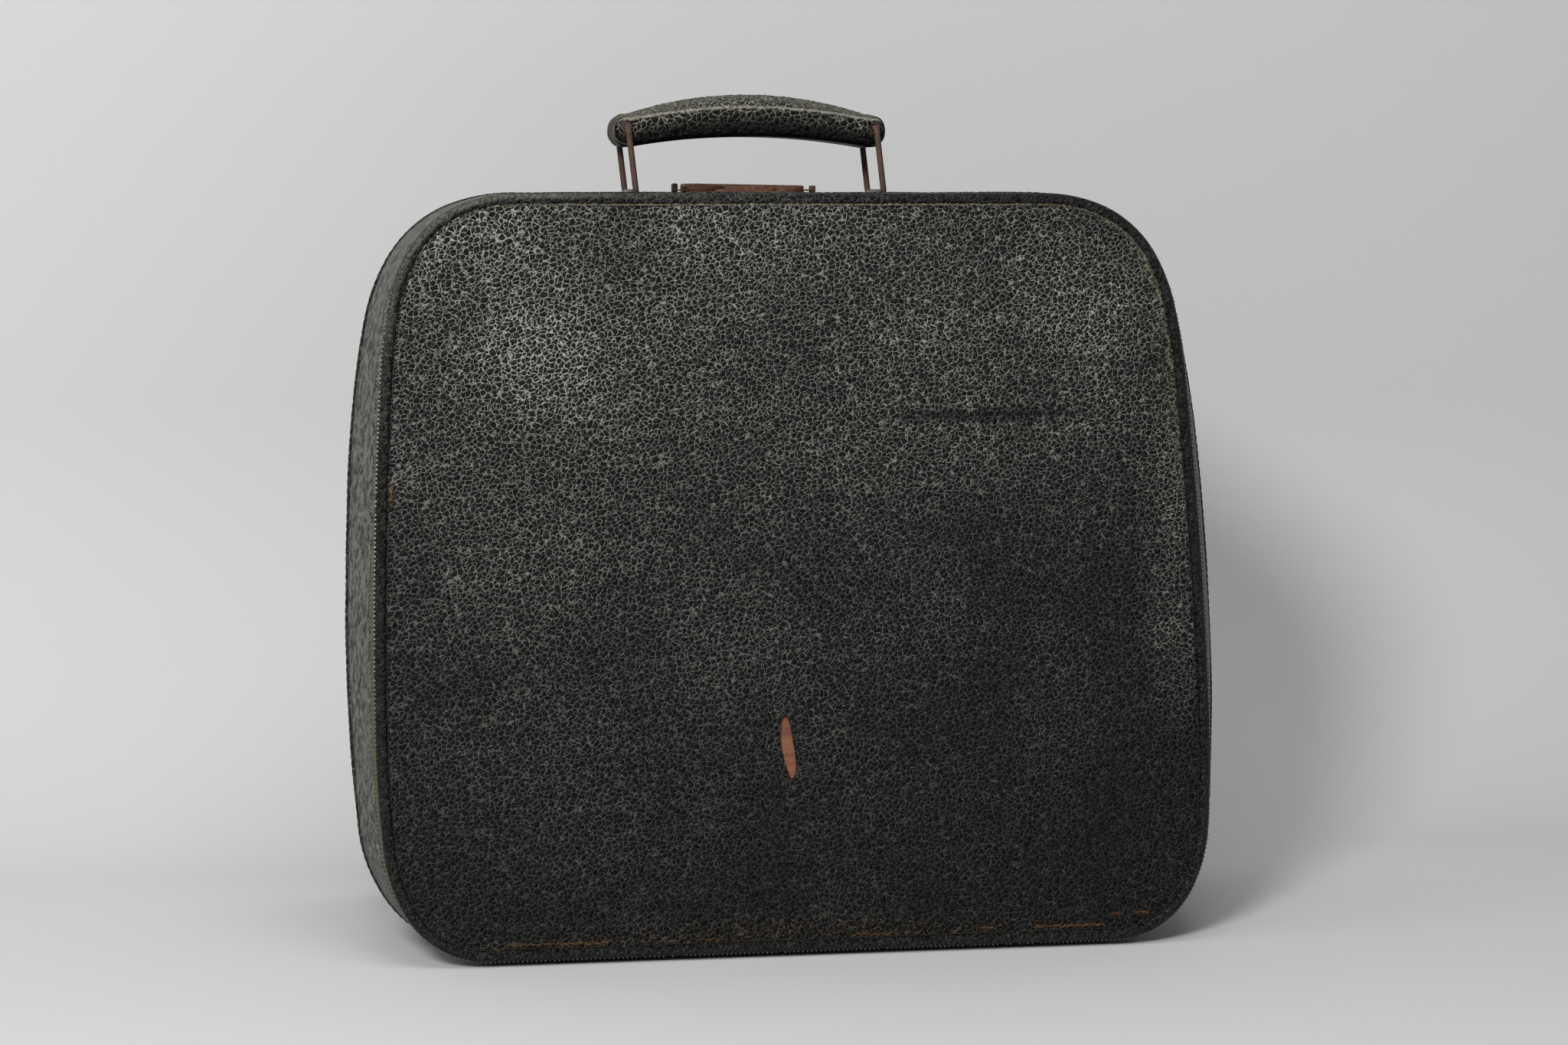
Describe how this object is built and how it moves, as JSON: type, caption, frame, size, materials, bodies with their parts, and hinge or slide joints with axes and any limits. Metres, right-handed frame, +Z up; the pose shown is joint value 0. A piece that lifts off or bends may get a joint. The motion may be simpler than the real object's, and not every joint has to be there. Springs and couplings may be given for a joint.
{
  "type": "portable typewriter case",
  "caption": "Portable typewriter case with a wedge-shaped leather-covered lid, a shallow hinged base, a sliding lock and a carrying handle on wire loops.",
  "frame": {"origin": "middle of the case's footprint on the surface that it stands on", "axes": "+X to the right seen from the leather face, +Y from the leather face to the back, +Z up"},
  "size_m": [0.356, 0.1741, 0.3423],
  "materials": {
    "plywood": "bare brown plywood",
    "black_leather": "coarse pebbled black leather, dusty in the creases",
    "grey_leather": "worn fine-grained leather",
    "lining_cloth": "woven cotton cloth",
    "hard_strip": "worn hard fibre strip",
    "handle_wood": "bare wood",
    "pad_rubber": "old black rubber",
    "grey_steel": "dull tarnished steel",
    "rusty_steel": "rusty pressed steel"
  },
  "bodies": {
    "base": {"base_frame": "plywood", "base_board": "plywood", "base_back_cover": "black_leather", "base_back_roll": "black_leather", "base_wall_cover": "black_leather", "base_deck_lining": "lining_cloth", "base_wall_lining": "lining_cloth", "base_locating_lip": "plywood", "rear_wear_strip": "hard_strip", "rear_strip_nails": "rusty_steel", "left_hinge_base_leaf": "rusty_steel", "right_hinge_base_leaf": "rusty_steel", "left_hinge_pin": "rusty_steel", "right_hinge_pin": "rusty_steel", "base_hinge_rivets": "rusty_steel", "lock_plate": "rusty_steel", "lock_case": "rusty_steel", "lock_rivets": "rusty_steel", "left_lower_pad": "pad_rubber", "left_upper_pad": "pad_rubber", "right_lower_pad": "pad_rubber", "right_upper_pad": "pad_rubber", "pad_screws": "rusty_steel", "left_hold_down_hook": "rusty_steel", "right_hold_down_hook": "rusty_steel", "hook_screws": "rusty_steel", "left_clamp_screw": "rusty_steel", "right_clamp_screw": "rusty_steel"},
    "lid": {"lid_frame": "plywood", "lid_front_board": "plywood", "lid_front_cover": "black_leather", "lid_front_roll": "black_leather", "lid_band_cover": "grey_leather", "lid_welt": "black_leather", "lid_wall_cover": "black_leather", "lid_front_lining": "lining_cloth", "lid_wall_lining": "lining_cloth", "front_wear_strip": "hard_strip", "front_strip_nails": "rusty_steel", "left_hinge_lid_leaf": "rusty_steel", "right_hinge_lid_leaf": "rusty_steel", "lid_hinge_rivets": "rusty_steel", "left_handle_saddle": "grey_steel", "right_handle_saddle": "grey_steel", "handle_saddle_rivets": "rusty_steel", "left_backing_plate": "rusty_steel", "right_backing_plate": "rusty_steel", "strike_plate": "rusty_steel", "strike_rivets": "rusty_steel"},
    "left_loop": {"left_loop": "rusty_steel"},
    "handle": {"handle_core": "handle_wood", "handle_cover": "black_leather", "handle_eyelets": "rusty_steel"},
    "right_loop": {"right_loop": "rusty_steel"},
    "lock_slider": {"lock_slider": "rusty_steel"},
    "left_clamp": {"left_clamp_lever": "rusty_steel"},
    "right_clamp": {"right_clamp_lever": "rusty_steel"}
  },
  "joints": [
    {"name": "lid_hinge", "type": "hinge", "parent": "base", "child": "lid", "pos_m": [0, 0.05305, 0.002], "axis": [1, 0, 0], "range_deg": [0, 103]},
    {"name": "left_loop_pivot", "type": "hinge", "parent": "lid", "child": "left_loop", "pos_m": [-0.0539, 0.02455, 0.3009], "axis": [0, 1, 0], "range_deg": [-63, 76]},
    {"name": "handle_pivot", "type": "hinge", "parent": "left_loop", "child": "handle", "pos_m": [-0.05717, 0.02455, 0.3283], "axis": [0, 1, 0], "range_deg": [-76, 63]},
    {"name": "right_loop_pivot", "type": "hinge", "parent": "lid", "child": "right_loop", "pos_m": [0.0501, 0.02455, 0.3009], "axis": [0, 1, 0], "range_deg": [-63, 76]},
    {"name": "lock_slide", "type": "slide", "parent": "base", "child": "lock_slider", "axis": [-1, 0, 0], "range_m": [0, 0.0024]},
    {"name": "left_clamp_pivot", "type": "hinge", "parent": "base", "child": "left_clamp", "pos_m": [-0.088, 0.06805, 0.062], "axis": [0, 1, 0], "range_deg": [-90, 90]},
    {"name": "right_clamp_pivot", "type": "hinge", "parent": "base", "child": "right_clamp", "pos_m": [0.088, 0.06805, 0.062], "axis": [0, 1, 0], "range_deg": [-90, 90]}
  ],
  "couplings": [
    {"joint": "handle_pivot", "follows": "left_loop_pivot", "ratio": -1},
    {"joint": "right_loop_pivot", "follows": "left_loop_pivot", "ratio": 1}
  ]
}
